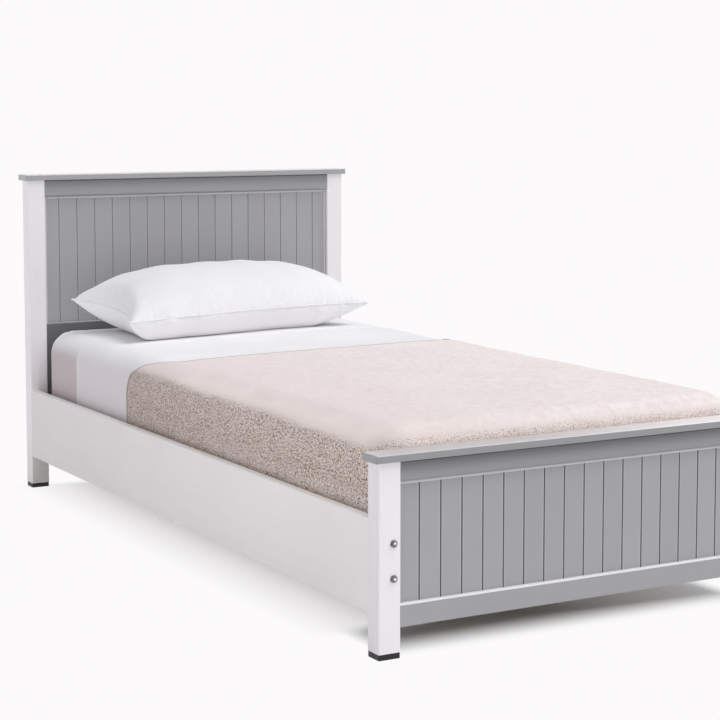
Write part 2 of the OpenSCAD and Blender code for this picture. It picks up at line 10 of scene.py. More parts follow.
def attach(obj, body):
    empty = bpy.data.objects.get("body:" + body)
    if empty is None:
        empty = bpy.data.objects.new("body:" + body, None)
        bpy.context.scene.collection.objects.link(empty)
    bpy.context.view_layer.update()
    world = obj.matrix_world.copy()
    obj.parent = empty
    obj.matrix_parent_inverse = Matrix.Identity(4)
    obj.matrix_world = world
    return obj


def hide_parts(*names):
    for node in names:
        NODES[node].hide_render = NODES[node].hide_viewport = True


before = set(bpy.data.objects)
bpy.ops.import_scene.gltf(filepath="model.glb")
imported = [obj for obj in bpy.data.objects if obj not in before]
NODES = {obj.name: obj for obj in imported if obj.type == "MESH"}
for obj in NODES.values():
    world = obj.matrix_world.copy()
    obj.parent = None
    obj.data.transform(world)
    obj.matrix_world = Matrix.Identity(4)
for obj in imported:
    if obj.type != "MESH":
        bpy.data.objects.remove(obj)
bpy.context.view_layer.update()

# ---------------------------------------------------------------- sizes, in metres, as in the solids
# the mattress: its middle along the bed, its underside and top, and its rounded corners and edges
MAT_W, MAT_L, MAT_T = 0.920, 1.890, 0.216
MAT_Y = 0.0075
MAT_Z0 = 0.2318
MAT_Z1 = MAT_Z0 + MAT_T
MAT_CORNER, MAT_TOP_R, MAT_LOW_R, MAT_CROWN = 0.072, 0.060, 0.016, 0.003
# how far the mattress's cover, the sheet and the blanket lie outside its nominal faces
COVER_OUT = -0.0006
SHEET_IN, SHEET_OUT = 0.0003, 0.0015
BLANKET_IN, BLANKET_OUT = 0.0018, 0.0068
# how far the sheet is turned in below, and the upright edge of its folded corner
SHEET_HEM = 0.060
FOLD_Y = 0.697
# the blanket's head edge on top, its turn in degrees, and its low edge on the sides
BLANKET_EDGE, BLANKET_TURN, BLANKET_LOW = 0.163, 3.2, 0.242
# where the painted shadow along the blanket's head edge starts, measured along the bed from that edge
EDGE_SHADOW_STARTS = (-0.0085, -0.0060)
# the bed bolts: how far from the middle, the height of each pair's middle, and half the distance in a pair
BOLT_X, BOLT_Z, BOLT_HALF = 0.4657, 0.1965, 0.0355
BOLT_HEAD_R = 0.010
# where the panels' boards end beside the posts, darkening there to the grooves' painted shade
BOARDS_END = (0.4462, 0.4475)
# a joint between two boards, in millimetres: where its left border, its groove and its right border start, and end;
# the borders get painted highlights, the groove painted shade
JOINT = (-3.6, -0.9, 1.6, 3.8)


# ---------------------------------------------------------------- small helpers
def srgb(r, g, b):
    """Linear colour from 0-255 screen values."""
    def one(v):
        v /= 255
        return v / 12.92 if v <= 0.04045 else ((v + 0.055) / 1.055) ** 2.4
    return (one(r), one(g), one(b), 1.0)


def times(colour, factor):
    """A colour made darker or paler."""
    return tuple(min(1, c * factor) for c in colour[:3]) + (1,)


def tinted(colour, factors):
    """A colour with a factor for each channel."""
    return tuple(c * k for c, k in zip(colour[:3], factors)) + (1,)


def drawn_out(axis, by):
    """Scale factors that draw a pattern out along one axis."""
    return tuple(by if a == axis else 1 for a in "xyz")


def new_object(name, mesh):
    o = bpy.data.objects.new(name, mesh)
    bpy.context.scene.collection.objects.link(o)
    return o


def mesh_from(name, points, faces, smooth=True):
    mesh = bpy.data.meshes.new(name)
    mesh.from_pydata([tuple(p) for p in points], [], [tuple(f) for f in faces])
    mesh.update()
    mesh.validate()
    if smooth:
        mesh.polygons.foreach_set("use_smooth", [True] * len(mesh.polygons))
    return mesh


def coords(mesh):
    """The vertices' places, a row each."""
    co = np.zeros(len(mesh.vertices) * 3)
    mesh.vertices.foreach_get("co", co)
    return co.reshape(-1, 3)


def set_coords(mesh, co):
    mesh.vertices.foreach_set("co", np.ascontiguousarray(co, dtype=np.float32).ravel())
    mesh.update()


def normals(mesh):
    """The vertices' normals, a row each."""
    n = np.zeros(len(mesh.vertices) * 3)
    mesh.vertices.foreach_get("normal", n)
    return n.reshape(-1, 3)


def waves(p, seed, count, low, high):
    """A smooth field of summed waves over points, with wavelengths from low to high, in metres, of size about 1."""
    r = np.random.default_rng(seed)
    out = np.zeros(len(p))
    for _ in range(count):
        d = r.normal(size=3)
        d /= np.linalg.norm(d)
        length = low * (high / low) ** r.random()
        out += np.sin(p @ d * 2 * math.pi / length + r.random() * 2 * math.pi)
    return out / math.sqrt(count / 2)


def bump01(x):
    """A smooth step: 0 below 0, 1 above 1."""
    return np.clip(x, 0, 1) ** 2 * (3 - 2 * np.clip(x, 0, 1))


# ---------------------------------------------------------------- node materials
class Nodes:
    """Builds one node material."""

    def __init__(self, name):
        self.mat = bpy.data.materials.new(name)
        self.mat.use_nodes = True
        self.tree = self.mat.node_tree
        self.tree.nodes.clear()
        self.out = self.add("ShaderNodeOutputMaterial")
        self.bsdf = self.add("ShaderNodeBsdfPrincipled")
        self.link(self.bsdf.outputs[0], self.out.inputs[0])
        self.place = self.add("ShaderNodeTexCoord").outputs["Object"]

    def add(self, kind, **values):
        n = self.tree.nodes.new(kind)
        for k, v in values.items():
            setattr(n, k, v)
        return n

    def link(self, a, b):
        self.tree.links.new(a, b)

    def scaled(self, x, y, z):
        m = self.add("ShaderNodeMapping")
        m.inputs["Scale"].default_value = (x, y, z)
        self.link(self.place, m.inputs["Vector"])
        return m.outputs[0]

    def noise(self, vector, scale, detail=3.0, rough=0.5, distortion=0.0):
        n = self.add("ShaderNodeTexNoise")
        n.inputs["Scale"].default_value = scale
        n.inputs["Detail"].default_value = detail
        n.inputs["Roughness"].default_value = rough
        n.inputs["Distortion"].default_value = distortion
        self.link(vector, n.inputs["Vector"])
        return n.outputs["Fac"]

    def cells(self, vector, scale, feature="F1", random=1.0, smooth=None):
        n = self.add("ShaderNodeTexVoronoi", feature=feature)
        n.inputs["Scale"].default_value = scale
        n.inputs["Randomness"].default_value = random
        if smooth is not None:
            n.inputs["Smoothness"].default_value = smooth
        self.link(vector, n.inputs["Vector"])
        return n.outputs["Distance"]

    def wave(self, vector, scale, axis, distortion, detail, detail_scale=1.0):
        n = self.add("ShaderNodeTexWave", wave_type="BANDS", bands_direction=axis, wave_profile="SIN")
        n.inputs["Scale"].default_value = scale
        n.inputs["Distortion"].default_value = distortion
        n.inputs["Detail"].default_value = detail
        n.inputs["Detail Scale"].default_value = detail_scale
        self.link(vector, n.inputs["Vector"])
        return n.outputs["Fac"]

    def math(self, operation, a, b=None, clamp=False):
        n = self.add("ShaderNodeMath", operation=operation, use_clamp=clamp)
        for i, v in enumerate((a, b)):
            if v is None:
                continue
            if isinstance(v, (int, float)):
                n.inputs[i].default_value = v
            else:
                self.link(v, n.inputs[i])
        return n.outputs[0]

    def ramp(self, value, *stops):
        """stops are (place, colour)"""
        n = self.add("ShaderNodeValToRGB")
        e = n.color_ramp.elements
        while len(e) < len(stops):
            e.new(0.5)
        for i, (place, colour) in enumerate(stops):
            e[i].position = place
            e[i].color = colour
        self.link(value, n.inputs[0])
        return n.outputs[0]

    def remap(self, value, low, high, to_low=0.0, to_high=1.0, kind="LINEAR"):
        n = self.add("ShaderNodeMapRange", interpolation_type=kind)
        n.inputs["From Min"].default_value = low
        n.inputs["From Max"].default_value = high
        n.inputs["To Min"].default_value = to_low
        n.inputs["To Max"].default_value = to_high
        self.link(value, n.inputs["Value"])
        return n.outputs[0]

    def mix(self, factor, a, b):
        n = self.add("ShaderNodeMix", data_type="RGBA")
        for socket, v in ((n.inputs[0], factor), (n.inputs[6], a), (n.inputs[7], b)):
            if isinstance(v, (int, float, tuple)):
                socket.default_value = v
            else:
                self.link(v, socket)
        return n.outputs[2]

    def multiply(self, a, b):
        n = self.add("ShaderNodeMix", data_type="RGBA", blend_type="MULTIPLY")
        n.inputs[0].default_value = 1.0
        self.link(a, n.inputs[6])
        self.link(b, n.inputs[7])
        return n.outputs[2]

    def band(self, value, low, high, soft):
        """1 from low to high, and 0 beyond a soft border on both sides."""
        return self.math("MULTIPLY", self.remap(value, low - soft / 2, low + soft / 2),
                         self.remap(value, high - soft / 2, high + soft / 2, 1.0, 0.0))

    def axis(self, which):
        n = self.add("ShaderNodeSeparateXYZ")
        self.link(self.place, n.inputs[0])
        return n.outputs["XYZ".index(which)]

    def upward(self):
        """How much a face looks up: 1 for a level one."""
        n = self.add("ShaderNodeSeparateXYZ")
        self.link(self.add("ShaderNodeNewGeometry").outputs["Normal"], n.inputs[0])
        return n.outputs["Z"]

    def bump(self, height, strength, distance, onto=None):
        n = self.add("ShaderNodeBump")
        if isinstance(strength, (int, float)):
            n.inputs["Strength"].default_value = strength
        else:
            self.link(strength, n.inputs["Strength"])
        n.inputs["Distance"].default_value = distance
        self.link(height, n.inputs["Height"])
        if onto is not None:
            self.link(onto, n.inputs["Normal"])
        return n.outputs[0]

    def finish(self, colour=None, rough=None, normal=None, **fixed):
        for value, socket in ((colour, "Base Color"), (rough, "Roughness"), (normal, "Normal")):
            if value is None:
                continue
            if isinstance(value, (int, float, tuple)):
                self.bsdf.inputs[socket].default_value = value
            else:
                self.link(value, self.bsdf.inputs[socket])
        for k, v in fixed.items():
            self.bsdf.inputs[k.replace("_", " ")].default_value = v
        return self.mat


def board_tones(n, base, colour, pitch, phase, groove, border):
    """Boards that each take the paint a little differently, with painted shade in the grooves and painted
    highlights on their borders.
    """
    at = n.math("ADD", n.math("DIVIDE", n.axis("X"), pitch), phase)
    lot = n.add("ShaderNodeTexWhiteNoise", noise_dimensions="1D")
    n.link(n.math("FLOOR", at), lot.inputs["W"])
    own = n.mix(lot.outputs["Value"], tinted(colour, (0.95, 0.94, 0.94)), tinted(colour, (1.03, 1.035, 1.07)))
    base = n.mix(0.55, base, own)
    # millimetres from the nearest joint, less than 0 on its left
    off = n.math("MULTIPLY", n.math("SUBTRACT", n.math("FRACT", n.math("ADD", at, 0.5)), 0.5), pitch * 1000)
    left, groove_left, groove_right, right = JOINT
    # painted highlights on the borders of each joint, and painted shade in its groove
    base = n.mix(n.band(off, left, groove_left, 0.5), base, times(colour, border))
    base = n.mix(n.band(off, groove_right, right, 0.5), base, times(colour, 0.5 + 0.5 * border))
    base = n.mix(n.band(off, groove_left, groove_right, 0.4), base, times(colour, groove))
    # painted shade where the boards run in beside the posts
    edge = n.remap(n.math("ABSOLUTE", n.axis("X")), *BOARDS_END)
    return n.mix(edge, base, times(colour, groove))


# where the two colours of the painted light on faces that look up run into each other, along X
TOP_LIGHT_LEFT, TOP_LIGHT_RIGHT = -0.15, 0.42


def paint(name, colour, along, tone=0.03, seed=0, board=None, fade=None, painted_top_light=None, coat=0.12):
    """Satin paint over wood, with brush strokes and a trace of the grain along one axis.

    board is (pitch, phase, groove, border), in metres and as factors of the colour: painted shade in the groove and a
    painted highlight on the border. fade is (axis, from, to, factor at from, factor at to): painted shade and light
    along that axis. The pair of colours for faces that look up, at the left and at the right, is painted light."""
    n = Nodes(name)
    stretch = drawn_out(along, 0.05)
    strokes = n.noise(n.scaled(*(260 * s for s in stretch)), 1.0, 3.0, 0.6)
    grain = n.noise(n.scaled(*(70 * s for s in stretch)), 1.0, 4.0, 0.55, 0.4)
    clouds = n.noise(n.place, 3.0 + seed, 2.0)
    shade = n.math("ADD", n.math("MULTIPLY", grain, 0.5), n.math("MULTIPLY", clouds, 0.5))
    base = n.ramp(shade, (0.3, times(colour, 1 - tone)), (0.7, times(colour, 1 + tone)))
    if board:
        base = board_tones(n, base, colour, *board)
    # painted light on faces that look up, running from its left colour to its right one along X
    if painted_top_light:
        painted_top_colour = n.mix(n.remap(n.axis("X"), TOP_LIGHT_LEFT, TOP_LIGHT_RIGHT, kind="SMOOTHSTEP"), *painted_top_light)
        base = n.mix(n.remap(n.upward(), 0.35, 0.8), base, painted_top_colour)
    # painted shade and light: the colour is scaled from one factor to another along one axis
    if fade:
        axis, start, stop, first, last = fade
        level = n.remap(n.axis(axis), start, stop, first, last, "SMOOTHSTEP")
        tint = n.add("ShaderNodeCombineColor")
        for i in range(3):
            n.link(level, tint.inputs[i])
        base = n.multiply(base, tint.outputs[0])
    # a little dirt where feet and brooms touch the lowest part
    low = n.remap(n.axis("Z"), 0.012, 0.07, 1.0, 0.0)
    scuff = n.math("MULTIPLY", low, n.remap(n.noise(n.place, 90.0, 4.0, 0.7), 0.55, 0.75), clamp=True)
    base = n.mix(n.math("MULTIPLY", scuff, 0.25), base, times(colour, 0.55))
    gloss = n.remap(strokes, 0.3, 0.7, 0.37, 0.49)
    normal = n.bump(strokes, 0.05, 0.0006, n.bump(grain, 0.06, 0.0012))
    return n.finish(base, gloss, normal, Specular_IOR_Level=0.45, Coat_Weight=coat, Coat_Roughness=0.22)


def pine(name, along):
    """Bare planed pine with growth rings along one axis."""
    n = Nodes(name)
    stretch = drawn_out(along, 0.06)
    rings = n.wave(n.scaled(*stretch), 28.0, "DIAGONAL", 7.0, 3.0, 1.6)
    fibres = n.noise(n.scaled(*(420 * s for s in stretch)), 1.0, 3.0, 0.6)
    tone = n.noise(n.scaled(1.5, 9.0, 1.5), 1.0, 1.0)
    base = n.ramp(rings, (0.0, srgb(226, 196, 150)), (0.6, srgb(214, 179, 130)), (1.0, srgb(190, 149, 99)))
    base = n.mix(n.remap(tone, 0.3, 0.7, 0.0, 0.35), base, srgb(233, 209, 170))
    base = n.mix(n.remap(fibres, 0.35, 0.75, 0.0, 0.18), base, srgb(168, 128, 84))
    normal = n.bump(fibres, 0.2, 0.0005, n.bump(rings, 0.08, 0.0004))
    return n.finish(base, n.remap(fibres, 0.3, 0.7, 0.55, 0.72), normal, Specular_IOR_Level=0.35)


def zinc(name, bolts=False):
    """Zinc-plated steel with fine turning marks; on the domed bolt heads, a painted highlight in the middle and a
    painted dark reflection round it.
    """
    n = Nodes(name)
    marks = n.noise(n.scaled(900, 60, 900), 1.0, 2.0)
    spots = n.noise(n.place, 220.0, 3.0, 0.6)
    base = n.ramp(spots, (0.3, srgb(150, 150, 154)), (0.7, srgb(190, 190, 193)))
    if bolts:
        # painted light on each bolt head, by distance from its middle: highlight, dark reflection, paler rim
        across = n.math("SUBTRACT", n.math("ABSOLUTE", n.axis("X")), BOLT_X)
        up = n.math("SUBTRACT", n.math("ABSOLUTE", n.math("SUBTRACT", n.axis("Z"), BOLT_Z)), BOLT_HALF)
        radius = n.math("SQRT", n.math("ADD", n.math("MULTIPLY", across, across), n.math("MULTIPLY", up, up)))
        base = n.ramp(n.remap(radius, 0.0, BOLT_HEAD_R), (0.18, srgb(250, 250, 252)),
                      (0.34, srgb(138, 137, 140)), (0.66, srgb(112, 111, 114)), (0.85, srgb(158, 157, 160)))
    return n.finish(base, n.remap(marks, 0.3, 0.7, 0.22, 0.38), n.bump(marks, 0.1, 0.0002), Metallic=1.0)


def rubber(name):
    """Black moulded plastic with a fine grain, dusty where it meets the floor."""
    n = Nodes(name)
    grain = n.noise(n.place, 1400.0, 2.0)
    low, patches = n.remap(n.axis("Z"), 0.0, 0.006, 1.0, 0.0), n.remap(n.noise(n.place, 160.0), 0.4, 0.7)
    dust = n.math("MULTIPLY", low, patches, clamp=True)
    base = n.mix(n.math("MULTIPLY", dust, 0.2), srgb(16, 16, 18), srgb(90, 87, 84))
    return n.finish(base, n.remap(grain, 0.3, 0.7, 0.42, 0.58), n.bump(grain, 0.25, 0.0003))


def cotton(name, colour=(240, 239, 242), crease=1.0, tucked=False, painted_pillow_light=False):
    """Smooth white percale: fine weave, faint creases and a soft sheen. Tucked, it gets painted shade down the
    mattress's sides, most in the pocket behind the folded corner, and a painted highlight along the fold. Filled, it
    gets painted
    light: palest below and at the right."""
    n = Nodes(name)
    warp, weft, rise = (n.wave(n.place, 900.0, axis, 0.6, 1.0) for axis in "XYZ")
    cloth = n.math("ADD", n.math("ADD", warp, weft), rise)
    folds = n.noise(n.scaled(16, 10, 16), 1.0, 3.0, 0.55, 0.8)
    slub = n.noise(n.scaled(90, 700, 90), 1.0, 2.0)
    tone = n.noise(n.place, 7.0, 3.0)
    base = n.ramp(tone, (0.3, srgb(*(c - 4 for c in colour))), (0.7, srgb(*(min(255, c + 3) for c in colour))))
    base = n.mix(n.remap(slub, 0.45, 0.75, 0.0, 0.05), base, srgb(215, 213, 218))
    # painted light on the pillow: paler towards the right, palest on faces that look down
    if painted_pillow_light:
        base = n.mix(n.remap(n.axis("X"), 0.02, 0.38, 0.0, 0.85), base, srgb(247, 246, 248))
        base = n.mix(n.remap(n.upward(), 0.10, 0.95), srgb(254, 253, 255), base)
    # painted shade down the sides, deeper in the pocket behind the fold, and a painted highlight on the fold's crest
    if tucked:
        down = n.remap(n.axis("Z"), MAT_Z1 - 0.020, MAT_Z1 - 0.065, kind="SMOOTHSTEP")
        pocket = n.remap(n.axis("Y"), FOLD_Y - 0.001, FOLD_Y + 0.003)
        base = n.mix(down, base, n.mix(pocket, srgb(233, 226, 229), srgb(208, 196, 198)))
        crest = n.band(n.axis("Y"), FOLD_Y - 0.0075, FOLD_Y - 0.001, 0.001)
        base = n.mix(n.math("MULTIPLY", n.math("MULTIPLY", crest, down), 0.6), base, srgb(250, 249, 251))
    normal = n.bump(folds, 0.10 * crease, 0.004, n.bump(cloth, 0.10, 0.00025, n.bump(slub, 0.08, 0.0004)))
    return n.finish(base, n.remap(slub, 0.3, 0.7, 0.78, 0.9), normal, Specular_IOR_Level=0.25,
                    Sheen_Weight=0.15, Sheen_Roughness=0.5)


def ticking(name):
    """The mattress's own cover: a quilted off-white knit."""
    n = Nodes(name)
    quilt = n.wave(n.place, 4.0, "X", 2.0, 1.0, 0.6)
    knit = n.cells(n.place, 520.0)
    tone = n.noise(n.place, 12.0, 3.0)
    base = n.ramp(tone, (0.3, srgb(222, 219, 215)), (0.7, srgb(234, 232, 229)))
    normal = n.bump(quilt, 0.35, 0.006, n.bump(knit, 0.3, 0.0006))
    return n.finish(base, n.remap(knit, 0.0, 0.6, 0.8, 0.92), normal, Specular_IOR_Level=0.2, Sheen_Weight=0.1)


def loops_of_yarn(n):
    """Small round loops in slightly uneven rows, 1 in a loop's middle."""
    jitter = n.add("ShaderNodeTexNoise")
    jitter.inputs["Scale"].default_value = 160.0
    n.link(n.place, jitter.inputs["Vector"])
    shift = n.add("ShaderNodeVectorMath", operation="SCALE")
    shift.inputs["Scale"].default_value = 0.005
    n.link(jitter.outputs["Color"], shift.inputs[0])
    warped = n.add("ShaderNodeVectorMath", operation="ADD")
    n.link(n.place, warped.inputs[0])
    n.link(shift.outputs[0], warped.inputs[1])
    rows = n.add("ShaderNodeMapping")
    rows.inputs["Scale"].default_value = (440, 380, 520)
    n.link(warped.outputs[0], rows.inputs["Vector"])
    return n.remap(n.cells(rows.outputs[0], 1.0, "SMOOTH_F1", 0.95, 0.2), 0.0, 0.75, 1.0, 0.0)


# heights on the blanket's sides: where the pile lies down (its colour, then its loops), the part below that slowly
# grows paler upwards, and the band of painted light near the low edge with its soft border
HANGING = (0.3950, 0.4220)
NUBBY = (0.3990, 0.4190)
PALER = (0.330, 0.400)
LOW_PAINTED_LIGHT = (0.262, 0.303, 0.030)


def boucle(name):
    """The blanket: looped yarn, brushed smooth on top and nubby on the hanging sides. Its pale top and darker sides
    are partly its colours, partly painted light and shade.
    """
    n = Nodes(name)
    loops = loops_of_yarn(n)
    fuzz = n.noise(n.place, 560.0, 2.0, 0.6)
    streak = n.noise(n.scaled(75, 42, 60), 1.0, 3.0, 0.6)
    rows_along = n.noise(n.scaled(60, 14, 150), 1.0, 3.0, 0.6)
    clouds = n.noise(n.place, 5.0, 3.0, 0.6)
    # The pile lies smooth on top and stands up below the bend. That line is a little higher at the head edge and
    # over the foot, sinks towards the foot along the sides, and wavers with the rows.
    foot = n.remap(n.axis("Y"), -0.89, -0.94, kind="SMOOTHSTEP")
    line = n.math("ADD", n.remap(n.axis("Y"), 0.25, -0.05, 0.010, 0.003, "SMOOTHSTEP"),
                  n.math("MULTIPLY", foot, 0.024))
    line = n.math("ADD", line, n.remap(n.axis("Y"), -0.45, -0.90, 0.0, -0.008))
    height = n.math("SUBTRACT", n.axis("Z"), line)
    height = n.math("ADD", height, n.math("MULTIPLY", n.math("SUBTRACT", rows_along, 0.5), 0.018))
    hanging = n.remap(height, *HANGING, 1.0, 0.0, "SMOOTHSTEP")
    nubby = n.remap(height, *NUBBY, 1.0, 0.0, "SMOOTHSTEP")
    nub = n.math("ADD", n.math("MULTIPLY", loops, 0.55), n.math("MULTIPLY", fuzz, 0.60))
    # the sides grow paler upwards, and get painted light in the low band, more towards the foot
    lift = n.math("ADD", n.remap(height, *PALER, 0.0, 0.020),
                  n.math("MULTIPLY", n.band(n.axis("Z"), *LOW_PAINTED_LIGHT), n.remap(n.axis("Y"), 0.2, -0.8, 0.030, 0.065)))
    # the sides' colours, from the gaps between the loops to the fuzz; painted shade towards the head edge, painted
    # light over the foot
    side = n.ramp(n.math("ADD", nub, lift), (0.404, srgb(110, 68, 54)), (0.448, srgb(238, 200, 187)),
                  (0.498, srgb(255, 232, 221)), (0.555, srgb(255, 248, 241)))
    side = n.mix(n.remap(n.axis("Y"), -0.4, 0.35, 0.0, 0.38), side, srgb(168, 151, 144))
    side = n.mix(n.math("MULTIPLY", foot, 0.55), side, srgb(248, 236, 233))
    # the top's colours: painted light, paler to the right; streaks; and a painted highlight where it bends over the
    # near edge
    across = n.mix(n.remap(n.axis("X"), -0.45, 0.40), srgb(237, 225, 224), srgb(250, 241, 241))
    brushed = n.math("ADD", n.math("MULTIPLY", streak, 0.7), n.math("MULTIPLY", clouds, 0.3))
    top = n.mix(n.remap(brushed, 0.35, 0.65, 0.0, 0.75), across, srgb(226, 213, 211))
    bend = n.math("MULTIPLY", n.remap(n.axis("Z"), 0.451, 0.424, kind="SMOOTHSTEP"),
                  n.math("MULTIPLY", n.remap(n.axis("Y"), -0.91, -0.87, 0.1, 1.0),
                         n.remap(n.axis("Y"), 0.0, 0.16, 1.0, 0.3)))
    top = n.mix(bend, top, srgb(255, 242, 239))
    smooth_side = n.mix(n.remap(fuzz, 0.35, 0.65), srgb(230, 213, 207), srgb(250, 233, 227))
    # the hanging sides take darker colours than the top: partly the standing pile, partly painted shade
    base = n.mix(hanging, top, n.mix(nubby, smooth_side, side))
    # a painted shadow on the blanket along its head edge
    from_edge = n.add("ShaderNodeAttribute", attribute_type="GEOMETRY", attribute_name="hem").outputs["Fac"]
    hem = n.remap(from_edge, *EDGE_SHADOW_STARTS)
    base = n.mix(n.math("MULTIPLY", hem, 0.75), base, srgb(150, 132, 126))
    strength = n.remap(nubby, 0.0, 1.0, 0.08, 0.65)
    normal = n.bump(nub, strength, 0.0020)
    return n.finish(base, 0.95, normal, Specular_IOR_Level=0.1, Sheen_Weight=0.2, Sheen_Roughness=0.6)


# ---------------------------------------------------------------- the frame's own materials
# the head end's low rail has painted shade on its face towards the mattress; the painted shade ends between these
# places along Y
LOW_RAIL_SHADE = (0.9575, 0.9600)
GREY = srgb(173, 172, 174)
post_white = paint("white_paint_z", srgb(251, 248, 250), "z", seed=2)
# the side rails: painted shade that deepens towards the head end and pales a little at the foot, and painted light on
# their top faces
rail_white = paint("white_paint_rail", srgb(253, 248, 249), "y", seed=3, fade=("Y", 0.9, -0.9, 0.86, 1.03),
                   painted_top_light=(srgb(255, 255, 255),) * 2)
# the beads, and the head's side beads, are a paler grey than the panels: a painted highlight where they catch the
# light
bead_highlight_grey = {k: paint(f"grey_paint_bead_{k}", srgb(206, 205, 207), k, seed=i) for i, k in enumerate("xz")}
side_bead_grey = {"head": bead_highlight_grey["z"], "foot": paint("grey_paint_z", GREY, "z", seed=2, tone=0.035)}
# the caps: the foot's is a darker copy of the head's grey, painted shade; faces that look up get a painted reflection
# of the backdrop, paler to the right
cap_grey = {"head": paint("grey_cap_head", srgb(171, 170, 172), "x", seed=2, coat=0.6,
                          painted_top_light=(srgb(196, 194, 196), srgb(206, 204, 206))),
            "foot": paint("grey_cap_foot", srgb(150, 149, 151), "x", seed=2, coat=1.0,
                          painted_top_light=(srgb(177, 177, 179), srgb(240, 239, 241)))}
# the top rails: darker greys than the boards, the foot's the darker, each with a painted shadow under its cap
top_grey = {"head": paint("grey_top_head", srgb(163, 162, 165), "x", seed=2, fade=("Z", 0.868, 0.830, 0.72, 1.0)),
            "foot": paint("grey_top_foot", srgb(155, 154, 156), "x", seed=2, fade=("Z", 0.393, 0.358, 0.55, 1.0))}
# the low rails: the head's with painted shade towards the mattress, the foot's with painted light on the face that
# looks up
low_grey = {"head": paint("grey_low_head", GREY, "x", seed=1, fade=("Y", *LOW_RAIL_SHADE, 0.33, 1.0)),
            "foot": paint("grey_low_foot", srgb(170, 169, 171), "x", seed=5, painted_top_light=(srgb(238, 236, 238),) * 2)}
# the boards: painted shade in the grooves and beside the posts, and painted highlights on the grooves' borders
board_grey = {"head": paint("grey_boards_head", GREY, "z", seed=1, board=(0.054, 0.5, 0.80, 1.10)),
              "foot": paint("grey_boards_foot", GREY, "z", seed=4, board=(0.050, 0.0, 0.30, 1.28))}
wood = {k: pine(f"bare_pine_{k}", k) for k in "xyz"}
steel = zinc("zinc_steel")
bolt_steel = zinc("zinc_bolts", True)
black = rubber("black_pad")


def dress(node, material):
    o = NODES[node]
    o.data.materials.clear()
    o.data.materials.append(material)


for end in ("head", "foot"):
    for side in ("left", "right"):
        dress(f"{end}_post_{side}", post_white)
        dress(f"{end}_bead_{side}", side_bead_grey[end])
        dress(f"{end}_pad_{side}", black)
        dress(f"{end}_block_{side}", wood["z"])
    dress(f"{end}_cap", cap_grey[end])
    dress(f"{end}_top_rail", top_grey[end])
    dress(f"{end}_low_rail", low_grey[end])
    dress(f"{end}_bead_top", bead_highlight_grey["x"])
    dress(f"{end}_boards", board_grey[end])
    dress(f"{end}_dowels", wood["x"])
for side in ("left", "right"):
    dress(f"side_rail_{side}", rail_white)
    dress(f"ledge_{side}", wood["y"])
for name in NODES:
    if name.startswith("slat_") and name != "slat_screws":
        dress(name, wood["x"])
dress("bed_bolts", bolt_steel)
for name in ("bolt_washers", "barrel_nuts", "pad_screws", "block_screws", "ledge_screws", "slat_screws"):
    dress(name, steel)


# ---------------------------------------------------------------- forms that lie on the mattress
def ring(hw, hl, r, z, corner=14, long_n=110, short_n=46):
    """Points round a rounded rectangle, anticlockwise from the middle of the right side, the same count each time."""
    pts = []
    for q in range(4):
        sx = 1 if q in (0, 3) else -1
        sy = 1 if q < 2 else -1
        cx, cy = sx * (hw - r), sy * (hl - r)
        for i in range(corner):
            a = math.radians(90 * (q + i / corner))
            pts.append((cx + r * math.cos(a), MAT_Y + cy + r * math.sin(a), z))
        # the straight side after this corner
        a = math.radians(90 * (q + 1))
        start = (cx + r * math.cos(a), cy + r * math.sin(a))
        n = short_n if q in (0, 2) else long_n
        nx, ny = {0: (-1, 1), 1: (-1, -1), 2: (1, -1), 3: (1, 1)}[q]
        stop = (nx * (hw - r) + r * math.cos(a), ny * (hl - r) + r * math.sin(a))
        for i in range(n):
            t = i / n
            pts.append((start[0] + (stop[0] - start[0]) * t, MAT_Y + start[1] + (stop[1] - start[1]) * t, z))
    return pts


# the inset of the innermost ring, which leaves a small face in the middle
INNERMOST = MAT_W / 2 - 0.004


def body_profile(e, z_low, side_step=0.012, arc=18, top_steps=34):
    """(inset, height) pairs from the side's low edge, over the rounded top edge, to the middle, e outside."""
    r, z1 = MAT_TOP_R, MAT_Z1 - MAT_CROWN
    side = np.linspace(z_low, z1 - r, max(3, int((z1 - r - z_low) / side_step)), endpoint=False)
    out = [(-e, z) for z in side]
    for i in range(arc + 1):
        b = math.radians(90 * i / arc)
        out.append((r - (r + e) * math.cos(b), z1 - r + (r + e) * math.sin(b)))
    for i in range(1, top_steps + 1):
        s = i / top_steps
        out.append((r + (INNERMOST - r) * s, z1 + e + MAT_CROWN * math.sin(math.radians(90 * min(1, s * 2)))))
    return out


def low_profile(e, inset, flat=5, arc=6):
    """(inset, height) pairs of the underside, from an inset out to the side, over the rounded low edge."""
    r = MAT_LOW_R
    out = [(inset * (1 - i / flat) + r * i / flat, MAT_Z0 - e) for i in range(flat)]
    for i in range(arc + 1):
        b = math.radians(90 * (1 - i / arc))
        out.append((r - (r + e) * math.cos(b), MAT_Z0 + r - (r + e) * math.sin(b)))
    return out


def rings_mesh(name, profile, close_low=False):
    """A mesh of one ring for each pair of a profile, closed on top."""
    rows = [ring(MAT_W / 2 - i, MAT_L / 2 - i, max(MAT_CORNER - i, 0.003), z) for i, z in profile]
    n = len(rows[0])
    pts = [p for row in rows for p in row]
    faces = []
    for k in range(len(rows) - 1):
        for i in range(n):
            j = (i + 1) % n
            faces.append((k * n + i, k * n + j, (k + 1) * n + j, (k + 1) * n + i))
    faces.append(tuple((len(rows) - 1) * n + i for i in range(n)))
    if close_low:
        faces.append(tuple(reversed(range(n))))
    return mesh_from(name, pts, faces)


def solidify(o, thickness):
    """Gives a surface its thickness, inwards."""
    m = o.modifiers.new("thick", "SOLIDIFY")
    m.thickness, m.offset, m.use_rim, m.use_even_offset = thickness, -1.0, True, True
    apply_all(o)


